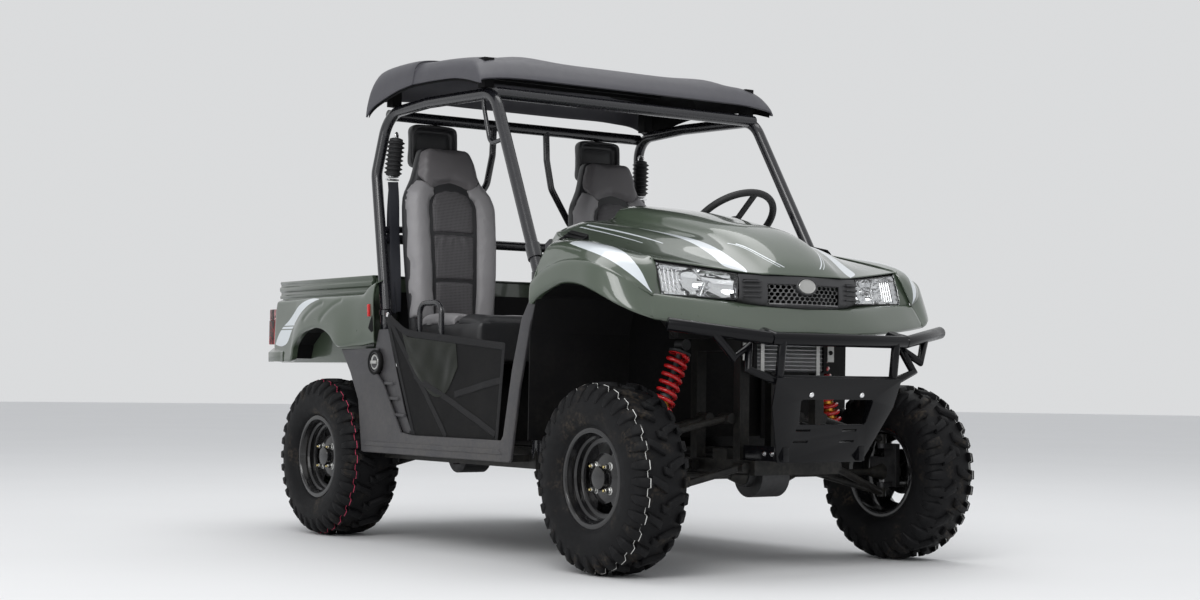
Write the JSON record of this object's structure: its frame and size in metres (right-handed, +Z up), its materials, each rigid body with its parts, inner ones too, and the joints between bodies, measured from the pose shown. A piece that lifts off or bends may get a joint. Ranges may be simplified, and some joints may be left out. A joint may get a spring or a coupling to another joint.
{
  "type": "side by side utility vehicle",
  "caption": "Open two-seat off-road utility vehicle with a hard roof, roll cage, tipping cargo box, tube bumper and independent suspension.",
  "frame": {"origin": "on the ground under the middle of the overall box", "axes": "+X forward, +Y to the vehicle's left, +Z up"},
  "size_m": [2.8995, 1.51, 1.884],
  "materials": {
    "green_body": "glossy moulded olive green",
    "grey_plastic": "textured dark grey moulding",
    "black_plastic": "textured black moulding",
    "black_steel": "satin black powder coat",
    "gloss_black_steel": "gloss black paint",
    "tyre_rubber": "matt",
    "lamp_chrome": "bright reflector",
    "lens_clear": "clear",
    "lens_red": "red lens",
    "core_metal": "dull fins",
    "spring_red": "gloss red",
    "vinyl": "grey and black vinyl",
    "webbing": "black woven",
    "cast_case": "rough cast",
    "heat_steel": "dull"
  },
  "bodies": {
    "chassis": {"frame": "black_steel", "front_subframe": "black_steel", "rear_subframe": "black_steel", "pillar_posts": "black_steel", "skid_plate": "black_plastic", "front_bumper": "black_steel", "front_cowl": "green_body", "grille": "grey_plastic", "headlamps": "lamp_chrome", "headlamp_lenses": "lens_clear", "radiator": "core_metal", "arch_liners": "black_plastic", "side_panels": "grey_plastic", "cab_floor": "black_plastic", "dashboard": "black_plastic", "seat_cushions": "vinyl", "seat_backs": "vinyl", "head_pads": "vinyl", "roll_cage": "black_steel", "roof": "grey_plastic", "belt_boots": "black_plastic", "seat_belts": "webbing", "hip_rails": "black_steel", "side_nets": "webbing", "engine": "cast_case", "muffler": "heat_steel", "drivelines": "cast_case", "half_shafts": "black_steel", "front_arms": "black_steel", "rear_arms": "black_steel", "shock_dampers": "black_steel", "shock_springs": "spring_red", "rear_carriers": "cast_case"},
    "hood": {"hood": "green_body"},
    "bed": {"cargo_box": "black_plastic", "rear_fenders": "green_body", "rear_liners": "black_plastic", "tail_lamps": "lens_red"},
    "gate": {"tailgate": "green_body"},
    "steering": {"steering_wheel": "black_plastic"},
    "knuckle_l": {"knuckle_left": "cast_case"},
    "knuckle_r": {"knuckle_right": "cast_case"},
    "wheel_front_left": {"tyre_front_left": "tyre_rubber", "rim_front_left": "gloss_black_steel"},
    "wheel_front_right": {"tyre_front_right": "tyre_rubber", "rim_front_right": "gloss_black_steel"},
    "wheel_rear_left": {"tyre_rear_left": "tyre_rubber", "rim_rear_left": "gloss_black_steel"},
    "wheel_rear_right": {"tyre_rear_right": "tyre_rubber", "rim_rear_right": "gloss_black_steel"}
  },
  "joints": [
    {"name": "steer_left", "type": "hinge", "parent": "chassis", "child": "knuckle_l", "pos_m": [1.023, 0.5725, 0.3175], "axis": [0, 0, 1], "range_deg": [-30, 30]},
    {"name": "steer_right", "type": "hinge", "parent": "chassis", "child": "knuckle_r", "pos_m": [1.023, -0.5725, 0.3175], "axis": [0, 0, 1], "range_deg": [-30, 30]},
    {"name": "steering_turn", "type": "hinge", "parent": "chassis", "child": "steering", "pos_m": [0.3605, 0.4, 1.255], "axis": [-0.6428, 0, 0.766], "range_deg": [-255, 255]},
    {"name": "spin_front_left", "type": "hinge", "parent": "knuckle_l", "child": "wheel_front_left", "pos_m": [1.023, 0.6475, 0.3175], "axis": [0, 1, 0], "continuous": true},
    {"name": "spin_front_right", "type": "hinge", "parent": "knuckle_r", "child": "wheel_front_right", "pos_m": [1.023, -0.6475, 0.3175], "axis": [0, 1, 0], "continuous": true},
    {"name": "spin_rear_left", "type": "hinge", "parent": "chassis", "child": "wheel_rear_left", "pos_m": [-0.902, 0.63, 0.3175], "axis": [0, 1, 0], "continuous": true},
    {"name": "spin_rear_right", "type": "hinge", "parent": "chassis", "child": "wheel_rear_right", "pos_m": [-0.902, -0.63, 0.3175], "axis": [0, 1, 0], "continuous": true},
    {"name": "hood_lift", "type": "hinge", "parent": "chassis", "child": "hood", "pos_m": [0.4445, 0, 1.212], "axis": [0, -1, 0], "range_deg": [0, 50]},
    {"name": "bed_tilt", "type": "hinge", "parent": "chassis", "child": "bed", "pos_m": [-1.2845, 0, 0.642], "axis": [0, -1, 0], "range_deg": [0, 45]},
    {"name": "gate_drop", "type": "hinge", "parent": "bed", "child": "gate", "pos_m": [-1.4065, 0, 0.726], "axis": [0, -1, 0], "range_deg": [0, 90]}
  ],
  "couplings": [
    {"joint": "steer_right", "follows": "steer_left", "ratio": 1},
    {"joint": "steering_turn", "follows": "steer_left", "ratio": 8.4}
  ]
}
